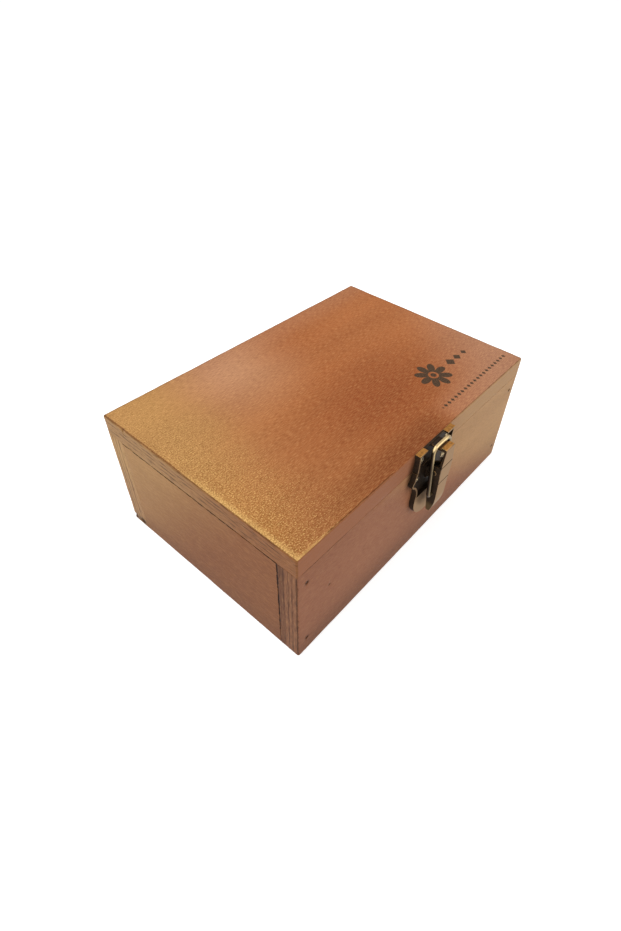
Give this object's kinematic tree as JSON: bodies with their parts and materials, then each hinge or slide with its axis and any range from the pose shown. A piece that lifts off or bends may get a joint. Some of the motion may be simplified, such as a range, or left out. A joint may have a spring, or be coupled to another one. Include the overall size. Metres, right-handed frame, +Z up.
{
  "type": "wooden gift box",
  "caption": "Stained plywood gift box with a flat hinged lid and a bronze toggle latch whose lever draws a wire loop over a hook on the lid.",
  "frame": {"origin": "centre of the underside of the box, in the plane it stands on", "axes": "+X along the length, to the right as seen from the latch; +Y from the latch to the hinges; +Z up"},
  "size_m": [0.15, 0.1119, 0.0613],
  "materials": {
    "stained_plywood": "satin stain",
    "bottom_plywood": "bare",
    "antique_bronze": "antiqued",
    "nail_steel": "dull"
  },
  "bodies": {
    "box": {"front_panel": "stained_plywood", "back_panel": "stained_plywood", "left_side_panel": "stained_plywood", "right_side_panel": "stained_plywood", "bottom_panel": "bottom_plywood", "front_brads": "nail_steel", "back_brads": "nail_steel", "latch_base_plate": "antique_bronze", "latch_base_screws": "antique_bronze", "lever_pin": "antique_bronze", "left_hinge_body_leaf": "antique_bronze", "right_hinge_body_leaf": "antique_bronze", "left_hinge_pin": "antique_bronze", "right_hinge_pin": "antique_bronze", "left_hinge_body_screws": "antique_bronze", "right_hinge_body_screws": "antique_bronze"},
    "lid": {"lid_panel": "stained_plywood", "catch_plate": "antique_bronze", "catch_screws": "antique_bronze", "left_hinge_lid_leaf": "antique_bronze", "right_hinge_lid_leaf": "antique_bronze", "left_hinge_lid_screws": "antique_bronze", "right_hinge_lid_screws": "antique_bronze"},
    "lever": {"latch_lever": "antique_bronze"},
    "loop": {"latch_loop": "antique_bronze"}
  },
  "joints": [
    {"name": "lid_hinge", "type": "hinge", "parent": "box", "child": "lid", "pos_m": [0, 0.0521, 0.051], "axis": [-1, 0, 0], "range_deg": [0, 180]},
    {"name": "lever_pivot", "type": "hinge", "parent": "box", "child": "lever", "pos_m": [0, -0.0557, 0.0482], "axis": [-1, 0, 0], "range_deg": [0, 100]},
    {"name": "loop_pivot", "type": "hinge", "parent": "lever", "child": "loop", "pos_m": [0, -0.056, 0.036], "axis": [-1, 0, 0], "range_deg": [-50, 0]}
  ],
  "couplings": [
    {"joint": "loop_pivot", "follows": "lever_pivot", "ratio": -0.5}
  ]
}
